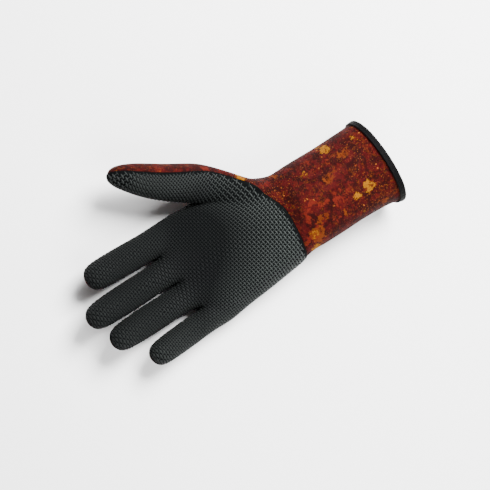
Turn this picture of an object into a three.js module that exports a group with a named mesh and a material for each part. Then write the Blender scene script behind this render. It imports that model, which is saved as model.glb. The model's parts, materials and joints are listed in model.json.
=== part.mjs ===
// A right-hand diving glove of sheet neoprene, filled out as if worn, lying on its back with the palm up.
// Two panels are cut from one hollow glove form: a moulded grip panel over the palm and the inner side of
// every finger, and a cloth-faced panel over the back, the finger backs and the whole sleeve. A folded tape
// binds the mouth of the sleeve.
// Millimetres. +X runs from the fingers to the sleeve, +Y to the thumb side, +Z up out of the palm.
// The origin is on the floor, in the middle of the flat that the back of the hand rests on.
import * as THREE from "three";

// Sheet and seams
const wall = 2.5; // neoprene sheet of both panels
const gripProud = 0.8; // how far the moulded grip panel stands above the cloth
const seamGap = 0.3; // clearance between the panels along a seam
const seamDrop = 16; // degrees by which the seams lie behind the widest line

// Hand
const palmLength = 104; // finger roots to the wrist seam
const palmWidth = 104; // across the knuckles
const palmDepth = 41; // heel of the hand, back to palm
const palmHollow = 8; // how deep the middle of the palm is dished
const fingerLength = 91; // middle finger, root to tip
const fingerDepth = 24; // finger, back to front
const fingerLift = 15; // how far the longest fingertip curls up
const webDepth = 8; // how far the web between two fingers runs out past their roots

// Thumb
const thumbLength = 92; // from inside the heel to the tip
const thumbWidth = 31; // nail side to pad side, at the widest
const thumbDepth = 27; // across that
const thumbRise = 12; // how far the tip stands above the thumb's root

// Sleeve
const sleeveLength = 101; // wrist seam to the mouth
const sleeveWidth = 74.5;
const sleeveDepth = 49;
const sleeveSwing = 6; // how far the mouth swings to the thumb side

// Binding tape round the mouth
const tape = 1.3; // folded tape, each leg
const tapeWidth = 4.8; // outer leg, measured along the sleeve
const tapeInside = 4.1; // inner leg
const tapeFold = 1.2; // how far the fold stands past the sheet's edge
const tapeGap = 0.3; // clearance to the sheet inside the fold

// A ring of the hand or sleeve has this many cage points: 0 on the thumb-side seam, 1 to 9 over the palm,
// 10 on the little-finger-side seam, and 11 to 19 over the back.
const ringPoints = 20;
const halfRing = ringPoints / 2;
const fingerPoints = 8;
const thumbPoints = 12;

// The smooth surface lies inside its cage. This brings a round of n points back to its real radius.
const roundFit = (n) => 3 / (2 + Math.cos((2 * Math.PI) / n));

// A short table: one object for each row, its values under the names of the columns.
const table = (columns, rows) =>
  rows.map((row) => Object.fromEntries(columns.split(" ").map((column, i) => [column, row[i]])));

// Hand rings, from the knuckles to the wrist seam.
// at is the little-finger edge along the hand, and lag how far the thumb edge stays behind it, both in
// palmLengths. bend is how late along the ring it does so. thumb and little are the two edges, in palmWidths.
// depth and seat, the back's height over the floor, are in palmDepths. seam is the angle of the ring's first
// point over the widest line, and step the angle from there to the second, in degrees.
const webRing = 2; // the thumb grows between this ring, counted from the finger roots, and the wrist seam
const handRings = table("name at lag bend thumb little depth seat seam step", [
  ["knuckles", -0.231, 0.115, 1, 0.464, -0.524, 0.77, -0.03, -16, 21],
  ["thumb web", -0.048, 0.185, 1.8, 0.478, -0.474, 0.86, -0.035, -14, 30],
  ["thumb root", 0.1, 0.11, 1.1, 0.5, -0.45, 0.92, -0.035, 0, 36],
  ["mid palm", 0.25, 0.125, 1.4, 0.51, -0.42, 0.97, -0.03, 10, 42],
  ["heel", 0.41, 0.125, 2.2, 0.5, -0.388, 1.0, -0.02, 30, 38],
  ["wrist seam", 0.575, 0.18, 5, 0.468, -0.352, 1.06, 0.005, 52, 18],
]);
const handPower = 2.25; // power of the section: 2 is an ellipse, and more is boxier

// The dish in the middle of the palm: its middle and its reach, in palmLengths and palmWidths.
const dishShape = { alongAt: 0.02, along: 0.42, acrossAt: -0.01, across: 0.3 };

// Sleeve rings, from the wrist crease to the mouth. at and lag are in sleeveLengths past the wrist seam,
// width in sleeveWidths, depth and seat in sleeveDepths, swing in sleeveSwings, seam in degrees as above.
const sleeveRings = table("name at lag width depth seat swing seam", [
  ["wrist crease", 0.085, 0.07, 1.0, 0.93, 0.03, 0.0, 22],
  ["above crease", 0.2, 0.08, 1.015, 0.95, 0.045, 0.12, 8],
  ["lower sleeve", 0.37, 0.08, 1.013, 0.98, 0.05, 0.35, 0],
  ["mid sleeve", 0.56, 0.08, 1.0, 1.0, 0.045, 0.6, 0],
  ["upper sleeve", 0.76, 0.085, 1.015, 1.02, 0.04, 0.9, 0],
  ["flare", 0.9, 0.09, 1.035, 1.06, 0.035, 1.0, 0],
  ["mouth", 1.0, 0.095, 1.085, 1.1, 0.032, 1.0, 0],
]);
const sleevePower = 2.1;
const sleeveStep = 18; // degrees between the first two points of a ring
const sleeveSideShare = -0.026; // how far the wrist's middle lies beside the heel's, in palmWidths

// Fingers, from the thumb side. root is in palmLengths, side and drift (the tip's sideways shift) in
// palmWidths, reach in fingerLengths, width in quarters of palmWidth, and lift in fingerLifts.
const fingers = table("name root side reach drift width lift", [
  ["index", -0.48, 0.33, 0.8, -0.042, 1.027, 0.8],
  ["middle", -0.452, 0.079, 1.0, -0.087, 1.012, 1.0],
  ["ring", -0.404, -0.171, 0.945, -0.076, 1.002, 0.95],
  ["little", -0.327, -0.42, 0.76, -0.085, 0.912, 0.7],
]);
const fingerSeatShare = 0.53; // height of a finger's middle at its root, in fingerDepths
const webShoulderShare = 0.25; // share of webDepth that the web's upper and lower corners run out

// Rounds of a finger past its root: along in the finger's reach, wide and deep in its own width and depth.
const fingerRounds = table("along wide deep", [
  [0.13, 0.95, 0.98],
  [0.3, 0.965, 0.96],
  [0.48, 0.98, 0.96],
  [0.66, 0.965, 0.93],
  [0.82, 0.93, 0.89],
  [0.94, 0.76, 0.72],
]);

// Rounds of the thumb, from just outside the hand. along and out place the round's middle, towards the
// fingers and away from the palm, in thumbLengths. wide and deep are in thumbWidths and thumbDepths, rise is
// in thumbRises, and twist turns the pad towards the fingers, in degrees.
const thumbRounds = table("along out wide deep rise twist", [
  [-0.1, 0.645, 1.1, 1.12, 0.1, 54],
  [0.075, 0.735, 1.07, 1.06, 0.25, 65],
  [0.23, 0.81, 1.0, 1.0, 0.42, 67],
  [0.37, 0.888, 0.94, 0.95, 0.6, 70],
  [0.495, 0.97, 0.83, 0.9, 0.78, 72],
  [0.605, 1.04, 0.66, 0.8, 0.92, 72],
  [0.69, 1.09, 0.43, 0.56, 1.0, 72],
]);
const thumbTip = { along: 0.745, out: 1.122, rise: 1.0 };
const thumbRootShare = 0.56; // height of the thumb's root, in palmDepths

const radians = (degrees) => (degrees * Math.PI) / 180;
const mix = (a, b, t) => a + (b - a) * t;
const signedPower = (v, p) => Math.sign(v) * Math.abs(v) ** p;

// Cage of the glove form: points, and four-cornered faces that each know their panel.
const cage = { points: [], faces: [] };
const addPoint = (x, y, z) => cage.points.push(new THREE.Vector3(x, y, z)) - 1;
const addFace = (corners, panel) => cage.faces.push({ corners, panel });

// Angle of each point of a ring, in degrees from the thumb side over the palm.
const lastStepShare = 0.8; // the step that closes a ring, as a share of its first one
function ringAngles(seam, step, drop) {
  const littleSeam = 180 + drop;
  const last = 360 + seam - step * lastStepShare;
  const angles = [seam];
  for (let k = 1; k < halfRing; k++) angles.push(mix(seam + step, littleSeam, (k - 1) / (halfRing - 1)));
  for (let k = 0; k < halfRing; k++) angles.push(mix(littleSeam, last, k / (halfRing - 1)));
  return angles;
}

// The dish of the palm between the ball of the thumb and the outer edge of the hand, 0 to 1.
function dish(x, y) {
  const along = (x / palmLength - dishShape.alongAt) / dishShape.along;
  const across = (y / palmWidth - dishShape.acrossAt) / dishShape.across;
  return Math.exp(-along * along - across * across);
}

// One ring of cage points from its edges, depth and height over the floor. An open ring ends at the thumb.
function ring({ littleX, thumbX, bend, thumbY, littleY, depth, seat, power, angles, hollow, open }) {
  const fit = roundFit(ringPoints);
  return angles.map((angle, k) => {
    if (open && k === 0) return -1;
    const c = signedPower(Math.cos(radians(angle)), 2 / power);
    const s = signedPower(Math.sin(radians(angle)), 2 / power);
    const towardsThumb = (1 + c) / 2;
    const x = mix(littleX, thumbX, towardsThumb ** bend);
    const y = (thumbY + littleY) / 2 + ((thumbY - littleY) / 2) * c * fit;
    const z = seat + depth / 2 + (depth / 2) * s * fit;
    return addPoint(x, y, z - (s > 0 ? hollow * s * dish(x, y) : 0));
  });
}

function handRing(row, place) {
  return ring({
    littleX: row.at * palmLength,
    thumbX: (row.at - row.lag) * palmLength,
    bend: row.bend,
    thumbY: row.thumb * palmWidth,
    littleY: row.little * palmWidth,
    depth: row.depth * palmDepth,
    seat: row.seat * palmDepth,
    power: handPower,
    angles: ringAngles(row.seam, row.step, seamDrop),
    hollow: palmHollow,
    open: place >= webRing && place < handRings.length - 1,
  });
}

const wristSeam = handRings[handRings.length - 1];
const wristX = wristSeam.at * palmLength;
const wristMiddle = ((wristSeam.thumb + wristSeam.little) / 2 + sleeveSideShare) * palmWidth;

function sleeveRing(row) {
  const middle = wristMiddle + row.swing * sleeveSwing;
  const halfWidth = (row.width * sleeveWidth) / 2;
  return ring({
    littleX: wristX + row.at * sleeveLength,
    thumbX: wristX + (row.at - row.lag) * sleeveLength,
    bend: 1,
    thumbY: middle + halfWidth,
    littleY: middle - halfWidth,
    depth: row.depth * sleeveDepth,
    seat: row.seat * sleeveDepth,
    power: sleevePower,
    angles: ringAngles(row.seam, sleeveStep, 0),
    hollow: 0,
    open: false,
  });
}

// Middle of a finger at a share of its reach, and the directions across it and out of its palm side.
function fingerFrame(finger, along) {
  const length = finger.reach * fingerLength;
  const lift = finger.lift * fingerLift;
  const drift = finger.drift * palmWidth;
  const middle = new THREE.Vector3(
    finger.root * palmLength - length * along,
    finger.side * palmWidth + drift * along,
    fingerSeatShare * fingerDepth + lift * along * along,
  );
  const forward = new THREE.Vector3(-length, drift, 2 * lift * along).normalize();
  const across = forward.clone().cross(new THREE.Vector3(0, 0, 1)).normalize();
  const up = across.clone().cross(forward);
  return { middle, across, up };
}

// Angle of point j of a round whose first half covers the palm side.
function roundAngle(j, points, drop) {
  const half = points / 2;
  return j <= half ? mix(-drop, 180 + drop, j / half) : mix(180 + drop, 360 - drop, (j - half) / half);
}

function fingerRound(finger, along, wide, deep) {
  const { middle, across, up } = fingerFrame(finger, along);
  const fit = roundFit(fingerPoints);
  const halfWidth = ((finger.width * wide * palmWidth) / 8 - gripProud) * fit;
  const halfDepth = ((deep * fingerDepth) / 2) * fit;
  return Array.from({ length: fingerPoints }, (_, j) => {
    const angle = radians(roundAngle(j, fingerPoints, seamDrop));
    return middle
      .clone()
      .addScaledVector(across, halfWidth * Math.cos(angle))
      .addScaledVector(up, halfDepth * Math.sin(angle));
  });
}

// Joins two rounds of equal count with faces; the first half of a round belongs to the grip panel.
function bridge(from, to, panelOf) {
  const n = from.length;
  for (let j = 0; j < n; j++) {
    const next = (j + 1) % n;
    addFace([from[j], to[j], to[next], from[next]], panelOf(j, n));
  }
}
const byHalf = (j, n) => (j < n / 2 ? "grip" : "cloth");

// Closes a round with a middle point and one face for each second point.
function cap(round, tip, panelOf) {
  const n = round.length;
  for (let j = 0; j < n; j += 2) {
    addFace([tip, round[(j + 2) % n], round[j + 1], round[j]], panelOf(j, n));
  }
}

// Root rounds of the fingers, which share the corners of each web.
function fingerRoots() {
  const loose = fingers.map((finger) => fingerRound(finger, 0, 1, 1));
  const roots = loose.map((round) => round.map(() => -1));
  const shared = table("own next out", [
    [3, 1, webShoulderShare],
    [4, 0, 1],
    [5, 7, webShoulderShare],
  ]);
  for (let f = 0; f + 1 < fingers.length; f++) {
    for (const { own, next, out } of shared) {
      const corner = loose[f][own].clone().lerp(loose[f + 1][next], 0.5);
      corner.x -= webDepth * out;
      roots[f][own] = addPoint(...corner);
      roots[f + 1][next] = roots[f][own];
    }
  }
  loose.forEach((round, f) =>
    round.forEach((point, j) => {
      if (roots[f][j] < 0) roots[f][j] = addPoint(...point);
    }),
  );
  return roots;
}

// The ring that the finger roots make together, in the order of the hand's rings.
function rootRing(roots) {
  const [index, , , little] = roots;
  const overPalm = roots.flatMap((round) => [round[2], round[3]]);
  const overBack = roots.toReversed().flatMap((round) => [round[6], round[7]]);
  return [index[0], index[1], ...overPalm, little[4], little[5], ...overBack];
}

function addFinger(finger, root) {
  let last = root;
  for (const { along, wide, deep } of fingerRounds) {
    const round = fingerRound(finger, along, wide, deep).map((p) => addPoint(...p));
    bridge(last, round, byHalf);
    last = round;
  }
  cap(last, addPoint(...fingerFrame(finger, 1).middle), byHalf);
}

// Middle of a round of the thumb.
function thumbMiddle({ along, out, rise }) {
  return new THREE.Vector3(
    -along * thumbLength,
    out * thumbLength,
    thumbRootShare * palmDepth + rise * thumbRise,
  );
}

// The thumb grows from the long hole that the hand's rings leave at its root.
function addThumb(root) {
  const middles = [...thumbRounds, thumbTip].map(thumbMiddle);
  const fit = roundFit(thumbPoints);
  let last = root;
  thumbRounds.forEach((row, m) => {
    const forward = middles[m + 1].clone().sub(middles[Math.max(m - 1, 0)]).normalize();
    const inward = new THREE.Vector3(0, 0, 1).cross(forward).normalize();
    const up = forward.clone().cross(inward).normalize();
    const round = Array.from({ length: thumbPoints }, (_, j) => {
      const angle = radians((360 * j) / thumbPoints + row.twist);
      const p = middles[m]
        .clone()
        .addScaledVector(inward, ((row.wide * thumbWidth) / -2) * fit * Math.cos(angle))
        .addScaledVector(up, ((row.deep * thumbDepth) / 2) * fit * Math.sin(angle));
      return addPoint(...p);
    });
    bridge(last, round, byHalf);
    last = round;
  });
  cap(last, addPoint(...middles[middles.length - 1]), byHalf);
}

// Hand and sleeve
const roots = fingerRoots();
const rings = [rootRing(roots), ...handRings.map(handRing), ...sleeveRings.map(sleeveRing)];
const wristRing = handRings.length; // the ring along the wrist seam
const inThumbHole = (row, k) => row >= webRing && row < wristRing && (k === 0 || k === ringPoints - 1);
for (let row = 0; row + 1 < rings.length; row++) {
  for (let k = 0; k < ringPoints; k++) {
    if (inThumbHole(row, k)) continue;
    const next = (k + 1) % ringPoints;
    const panel = row < wristRing && k < halfRing ? "grip" : "cloth";
    addFace([rings[row][k], rings[row][next], rings[row + 1][next], rings[row + 1][k]], panel);
  }
}

fingers.forEach((finger, f) => addFinger(finger, roots[f]));

const holeRings = rings.slice(webRing, wristRing + 1);
const palmHoleSide = holeRings.map((points) => points[1]).reverse();
const backHoleSide = holeRings.map((points) => points[ringPoints - 1]);
addThumb([rings[wristRing][0], ...palmHoleSide, rings[webRing][0], ...backHoleSide]);

// One step of smooth subdivision: each face becomes four, on the rules of Catmull and Clark.
const edgeKey = (a, b) => (a < b ? `${a},${b}` : `${b},${a}`);

function edgesOf(mesh) {
  const edges = new Map();
  mesh.faces.forEach(({ corners }, f) => {
    corners.forEach((a, i) => {
      const b = corners[(i + 1) % 4];
      const key = edgeKey(a, b);
      if (!edges.has(key)) edges.set(key, { a, b, faces: [] });
      edges.get(key).faces.push(f);
    });
  });
  return edges;
}

const average = (points) =>
  points.reduce((sum, p) => sum.add(p), new THREE.Vector3()).divideScalar(points.length);

function subdivide(mesh) {
  const { points, faces } = mesh;
  const edges = edgesOf(mesh);
  const facePoints = faces.map(({ corners }) => average(corners.map((c) => points[c])));
  const around = points.map(() => ({ faces: [], edges: [] }));
  faces.forEach(({ corners }, f) => corners.forEach((c) => around[c].faces.push(facePoints[f])));
  for (const edge of edges.values()) {
    around[edge.a].edges.push(edge);
    around[edge.b].edges.push(edge);
  }
  const made = points.map((p, v) => {
    const rim = around[v].edges.filter((edge) => edge.faces.length === 1);
    if (rim.length) {
      const sides = rim.map((edge) => points[edge.a === v ? edge.b : edge.a]);
      return average(sides).multiplyScalar(0.25).addScaledVector(p, 0.75);
    }
    const n = around[v].edges.length;
    const middles = average(around[v].edges.flatMap((edge) => [points[edge.a], points[edge.b]]));
    return average(around[v].faces)
      .addScaledVector(middles, 2)
      .addScaledVector(p, n - 3)
      .divideScalar(n);
  });
  const faceIndex = facePoints.map((p) => made.push(p) - 1);
  const edgeIndex = new Map();
  for (const [key, edge] of edges) {
    const ends = [points[edge.a], points[edge.b]];
    const inner = edge.faces.length === 2 ? edge.faces.map((f) => facePoints[f]) : [];
    edgeIndex.set(key, made.push(average([...ends, ...inner])) - 1);
  }
  const quarters = faces.flatMap(({ corners, panel }, f) =>
    corners.map((c, i) => {
      const after = edgeIndex.get(edgeKey(c, corners[(i + 1) % 4]));
      const before = edgeIndex.get(edgeKey(corners[(i + 3) % 4], c));
      return { corners: [c, after, faceIndex[f], before], panel };
    }),
  );
  return { points: made, faces: quarters };
}

// Moves each point to where endless subdivision would bring it.
function toLimit(mesh) {
  const { points, faces } = mesh;
  const edges = edgesOf(mesh);
  const around = points.map(() => ({ ends: [], rim: [], far: [] }));
  for (const { a, b, faces: beside } of edges.values()) {
    for (const [v, other] of [[a, b], [b, a]]) {
      around[v].ends.push(points[other]);
      if (beside.length === 1) around[v].rim.push(points[other]);
    }
  }
  faces.forEach(({ corners }) =>
    corners.forEach((c, i) => around[c].far.push(points[corners[(i + 2) % 4]])),
  );
  const moved = points.map((p, v) => {
    const { ends, rim, far } = around[v];
    if (rim.length) return average(rim).multiplyScalar(1 / 3).addScaledVector(p, 2 / 3);
    const n = ends.length;
    const sum = p.clone().multiplyScalar(n * n);
    ends.forEach((q) => sum.addScaledVector(q, 4));
    far.forEach((q) => sum.add(q));
    return sum.divideScalar(n * (n + 5));
  });
  return { points: moved, faces };
}

function normalsOf({ points, faces }) {
  const normals = points.map(() => new THREE.Vector3());
  for (const { corners } of faces) {
    const [a, b, c, d] = corners.map((v) => points[v]);
    const normal = c.clone().sub(a).cross(d.clone().sub(b));
    corners.forEach((v) => normals[v].add(normal));
  }
  return normals.map((n) => n.normalize());
}

// How a panel's edge points move to open the seam: into the panel, by half the gap from both of their edges.
function seamShift(mesh, panel, normals) {
  const inward = new Map();
  for (const { a, b, faces } of edgesOf(mesh).values()) {
    const own = faces.map((f) => mesh.faces[f]).filter((face) => face.panel === panel);
    if (faces.length !== 2 || own.length !== 1) continue;
    const middle = average(own[0].corners.map((c) => mesh.points[c]));
    const along = mesh.points[b].clone().sub(mesh.points[a]).normalize();
    for (const v of [a, b]) {
      const into = middle.clone().sub(mesh.points[v]);
      into.addScaledVector(along, -into.dot(along));
      into.addScaledVector(normals[v], -into.dot(normals[v])).normalize();
      inward.set(v, [...(inward.get(v) ?? []), into]);
    }
  }
  const shifts = new Map();
  for (const [v, [first, second]] of inward) {
    const length = seamGap / 2 / (1 + Math.max(first.dot(second), -0.5));
    shifts.set(v, first.clone().add(second).multiplyScalar(length));
  }
  return shifts;
}

// A closed sheet of the faces of one panel: outside, inside, and walls round every edge.
function panelGeometry(mesh, panel, proud) {
  const normals = normalsOf(mesh);
  const shifts = seamShift(mesh, panel, normals);
  const faces = mesh.faces.filter((face) => face.panel === panel);
  const used = [...new Set(faces.flatMap((face) => face.corners))];
  const place = new Map(used.map((v, i) => [v, i]));
  const skin = (offset, floor) =>
    used.map((v) => {
      const p = mesh.points[v].clone().addScaledVector(normals[v], offset);
      if (shifts.has(v)) p.add(shifts.get(v));
      p.z = Math.max(p.z, floor);
      return p;
    });
  const points = [...skin(proud, 0), ...skin(-wall, wall)];
  const inside = used.length;
  const triangles = [];
  const quad = (a, b, c, d) => triangles.push(a, b, c, a, c, d);
  const once = new Map();
  for (const { corners } of faces) {
    const [a, b, c, d] = corners.map((v) => place.get(v));
    quad(a, b, c, d);
    quad(inside + d, inside + c, inside + b, inside + a);
    for (const [from, to] of [[a, b], [b, c], [c, d], [d, a]]) {
      if (!once.delete(`${to},${from}`)) once.set(`${from},${to}`, [from, to]);
    }
  }
  // Both panels split a wall between the same two corners, so that the walls stay side by side.
  for (const [from, to] of once.values()) {
    if (used[from] < used[to]) quad(from, inside + from, inside + to, to);
    else quad(to, from, inside + from, inside + to);
  }
  return indexedGeometry(points, triangles);
}

function indexedGeometry(points, triangles) {
  const geometry = new THREE.BufferGeometry();
  const numbers = points.flatMap((p) => [p.x, p.y, p.z]);
  geometry.setAttribute("position", new THREE.Float32BufferAttribute(numbers, 3));
  geometry.setIndex(triangles);
  geometry.computeVertexNormals();
  return geometry;
}

// The mouth's edge in order, with the way out of the sleeve's wall and the way back along it.
function mouthFrames(mesh) {
  const normals = normalsOf(mesh);
  const next = new Map();
  const back = new Map();
  for (const { a, b, faces } of edgesOf(mesh).values()) {
    if (faces.length !== 1) continue;
    const { corners } = mesh.faces[faces[0]];
    const forward = corners[(corners.indexOf(a) + 1) % 4] === b;
    next.set(forward ? a : b, forward ? b : a);
    const place = corners.indexOf(forward ? a : b);
    back.set(corners[place], corners[(place + 3) % 4]);
  }
  const start = next.keys().next().value;
  const loop = [start];
  while (next.get(loop[loop.length - 1]) !== start) loop.push(next.get(loop[loop.length - 1]));
  return loop.map((v) => {
    const point = mesh.points[v];
    const out = normals[v];
    const inward = mesh.points[back.get(v)].clone().sub(point);
    inward.addScaledVector(out, -inward.dot(out)).normalize();
    return { point, out, inward };
  });
}

// The folded tape: a section of outer leg, round fold and inner leg, carried round the mouth.
const foldSteps = 4;
function bindingGeometry(mesh) {
  const outer = tapeGap + tape;
  const inner = -wall - outer;
  const middle = (outer + inner) / 2;
  const section = [[outer, tapeWidth]];
  for (let i = 0; i <= foldSteps; i++) {
    const angle = (Math.PI * i) / foldSteps;
    section.push([mix(middle, outer, Math.cos(angle)), -tapeGap - tapeFold * Math.sin(angle)]);
  }
  section.push([inner, tapeInside], [-wall - tapeGap, tapeInside], [-wall - tapeGap, -tapeGap]);
  section.push([tapeGap, -tapeGap], [tapeGap, tapeWidth]);
  const frames = mouthFrames(mesh);
  const points = frames.flatMap(({ point, out, inward }) =>
    section.map(([across, along]) => {
      const p = point.clone().addScaledVector(out, across).addScaledVector(inward, along);
      p.z = Math.max(p.z, 0);
      return p;
    }),
  );
  const n = section.length;
  const triangles = [];
  frames.forEach((_, i) => {
    const here = i * n;
    const there = ((i + 1) % frames.length) * n;
    for (let j = 0; j < n; j++) {
      const k = (j + 1) % n;
      triangles.push(here + j, here + k, there + k, here + j, there + k, there + j);
    }
  });
  return indexedGeometry(points, triangles);
}

const form = toLimit(subdivide(cage));

const gripRubber = new THREE.MeshStandardMaterial({ color: 0x1b1e1e, roughness: 0.62, metalness: 0 });
const printedCloth = new THREE.MeshStandardMaterial({ color: 0x6a1a12, roughness: 0.85, metalness: 0 });
const bindingCloth = new THREE.MeshStandardMaterial({ color: 0x0b0b0c, roughness: 0.8, metalness: 0 });

function part(name, geometry, material) {
  const mesh = new THREE.Mesh(geometry, material);
  mesh.name = name;
  return mesh;
}

const glove = new THREE.Group();
glove.add(
  part("palm_grip_panel", panelGeometry(form, "grip", gripProud), gripRubber),
  part("back_and_sleeve_panel", panelGeometry(form, "cloth", 0), printedCloth),
  part("mouth_binding", bindingGeometry(form), bindingCloth),
);

export default glove;
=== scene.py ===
import heapq
import json
import math
from functools import partial, partialmethod

import bmesh
import bpy
import numpy as np
from mathutils import Matrix, Vector, noise
from mathutils.bvhtree import BVHTree
from mathutils.geometry import intersect_point_line
from mathutils.kdtree import KDTree

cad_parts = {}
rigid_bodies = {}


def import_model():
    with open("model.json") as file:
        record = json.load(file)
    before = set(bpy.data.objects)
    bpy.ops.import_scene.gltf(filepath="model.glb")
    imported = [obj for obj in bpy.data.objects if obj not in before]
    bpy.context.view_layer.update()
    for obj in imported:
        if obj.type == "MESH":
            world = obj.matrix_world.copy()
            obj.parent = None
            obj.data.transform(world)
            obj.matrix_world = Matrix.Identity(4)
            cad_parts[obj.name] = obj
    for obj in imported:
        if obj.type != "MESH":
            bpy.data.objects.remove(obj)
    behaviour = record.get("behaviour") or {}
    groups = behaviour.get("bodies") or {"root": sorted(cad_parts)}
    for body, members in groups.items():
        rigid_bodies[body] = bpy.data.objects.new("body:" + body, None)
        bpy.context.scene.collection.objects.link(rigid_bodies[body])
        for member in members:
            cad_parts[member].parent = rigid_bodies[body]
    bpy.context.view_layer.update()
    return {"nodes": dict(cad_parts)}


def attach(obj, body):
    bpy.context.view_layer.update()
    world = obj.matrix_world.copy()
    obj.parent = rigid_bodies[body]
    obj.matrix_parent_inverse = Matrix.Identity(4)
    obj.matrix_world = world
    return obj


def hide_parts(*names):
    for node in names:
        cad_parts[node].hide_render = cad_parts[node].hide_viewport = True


bl_info = {
    "name": "Diving glove",
    "version": (1, 0, 0),
    "blender": (4, 5, 0),
    "location": "3D View > Sidebar > Diving Glove",
    "description": "Dresses the packed diving glove: grip rubber, printed cloth, bound mouth and stage",
    "category": "Object",
}

# The frame, in metres. +X runs from the fingers to the sleeve, +Y to the thumb side, +Z up out of the palm.
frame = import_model()

GRIP = "palm_grip_panel"
CLOTH = "back_and_sleeve_panel"
BINDING = "mouth_binding"
SHEET_MAP = "sheet"  # UV map of a panel laid flat, in metres
SENSOR_WIDTH = 36.0  # of the camera, in millimetres

# Name of each light, its way from the glove (right, up and nearer in the picture), share of the power, width
LIGHTS = (
    ("key", (0.6, 0.75, 0.8), 2.0, 0.7),
    ("fill", (0.6, -0.7, 0.7), 0.7, 1.2),
)
OUTER, RIM, INNER = range(3)  # kinds of a panel's faces: its outer skin, its cut edges and its inside


# Sizes and colours that a user may change

def number(name, description, default, **kind):
    return bpy.props.FloatProperty(name=name, description=description, default=default, **kind)


def triple(name, description, default, **kind):
    return bpy.props.FloatVectorProperty(name=name, description=description, default=default, size=3, **kind)


def angle(name, description, degrees):
    return number(name, description, math.radians(degrees), subtype="ANGLE", unit="ROTATION")


def count(name, description, default):
    return bpy.props.IntProperty(name=name, description=description, default=default, min=0)


length = partial(number, min=0.0, subtype="DISTANCE", unit="LENGTH")
share = partial(number, min=0.0, max=1.0, subtype="FACTOR")
colour = partial(triple, min=0.0, max=1.0, subtype="COLOR")
spot = partial(triple, subtype="TRANSLATION", unit="LENGTH")


class SheetSettings(bpy.types.PropertyGroup):
    """The neoprene sheet that both panels are cut from."""

    smoothness: count("Smoothness", "Rounds of subdivision of both panels", 2)
    edge_round: length("Edge round", "Radius of the panels' cut edges", 0.0007)
    corner: spot("Corner", "Where the wrist seam turns into the thumb's", (0.048, 0.040, 0.032))
    span: length("Span", "How far from the corner the seam is still made even", 0.026)
    rounds: count("Rounds", "How often the seam is made more even there", 26)
    reach: length("Reach", "How far from the seam the sheet goes along with it", 0.010)
    lining: colour("Lining", "Nylon jersey inside the glove", (0.009, 0.0092, 0.0105))


class GripSettings(bpy.types.PropertyGroup):
    """The moulded rubber of the palm."""

    rubber: colour("Rubber", "Ground colour of the rubber", (0.0011, 0.0014, 0.0015))
    # Pale colour of the net at the heel: wear together with painted light.
    net_rubber: colour("Net", "The raised net where it is rubbed pale", (0.021, 0.0245, 0.023))
    ground_gloss: share("Ground gloss", "Specular level of the rubber", 0.03)
    ground_roughness: share("Ground roughness", "Least roughness of the rubber", 0.65)
    net_gloss: share("Net gloss", "Specular level of the net", 0.11)
    net_roughness: share("Net roughness", "Least roughness of the net", 0.36)
    pitch: length("Pitch", "Distance between two lines of the raised net at the heel", 0.00275)
    fineness: number("Fineness", "How much finer the net is on the fingers than at the heel", 1.25)
    turn: angle("Turn", "Turn of the net against the hand", -72.3)
    strand_length: length("Strand length", "Length of a strand, which passes over one crossing", 0.0046)
    strand_width: length("Strand width", "Width of a strand", 0.0016)
    strand_height: length("Strand height", "How far a strand stands above the rubber", 0.0006)
    under: share("Under", "Height of the set of strands that lies lower, against the other", 0.7)
    border: length("Border", "Width of the smooth band along the panel's edge", 0.0024)


class ClothSettings(bpy.types.PropertyGroup):
    """The printed nylon jersey of the back and the sleeve."""

    maroon: colour("Maroon", "Darkest ground of the print", (0.0095, 0.0003, 0.0003))
    wine: colour("Wine", "Lighter ground of the print", (0.027, 0.0010, 0.0011))
    rust: colour("Rust", "Red-brown patches", (0.068, 0.0056, 0.0022))
    umber: colour("Umber", "Orange-brown patches", (0.080, 0.0160, 0.0010))
    ochre: colour("Ochre", "The few yellow patches", (0.130, 0.047, 0.0003))
    spark: colour("Spark", "Small light specks", (0.26, 0.08, 0.012))
    wale: length("Wale", "Distance between two columns of knitted loops", 0.0009)


class BindingSettings(bpy.types.PropertyGroup):
    """The folded tape round the mouth and its row of stitches."""

    tape: colour("Tape", "Woven tape", (0.0010, 0.0010, 0.0011))
    thread: colour("Thread", "Sewing thread", (0.0014, 0.0014, 0.0016))
    inset: length("Inset", "Distance of the stitches from the folded edge", 0.0044)
    groove: length("Groove", "How deep the stitches pull the tape in", 0.00035)
    stitch: length("Stitch", "Length of one stitch", 0.0026)
    gap: length("Gap", "Space between two stitches", 0.0006)
    thread_width: length("Thread width", "Thickness of the thread", 0.00042)
    crease: angle("Crease", "Least bend between two faces at which the tape keeps an edge", 60.0)


class StageSettings(bpy.types.PropertyGroup):
    """Floor, lights and the photograph's camera."""

    floor: colour("Floor", "Pale floor", (0.86, 0.86, 0.86))
    light: number("Light", "Power that the lights take their shares of", 55.0, subtype="POWER", unit="POWER")
    distance: length("Distance", "Distance of the lights from the point aimed at", 1.3)
    surround: share("Surround", "Strength of the white light from all around", 0.2)
    lens: number("Lens", "Focal length", 100.0, subtype="DISTANCE_CAMERA")
    tilt: angle("Tilt", "Tilt of the camera towards the fingers", 15.0)
    roll: angle("Roll", "Roll of the camera", 27.3)
    width: length("Width", "Width of the picture at the glove", 0.4214)
    aim: spot("Aim", "Point that the camera looks at", (0.016, -0.003, 0.020))


class GloveSettings(bpy.types.PropertyGroup):
    """Everything that a user may change on the glove."""

    sheet: bpy.props.PointerProperty(type=SheetSettings)
    grip: bpy.props.PointerProperty(type=GripSettings)
    cloth: bpy.props.PointerProperty(type=ClothSettings)
    binding: bpy.props.PointerProperty(type=BindingSettings)
    stage: bpy.props.PointerProperty(type=StageSettings)


# Node trees

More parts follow.
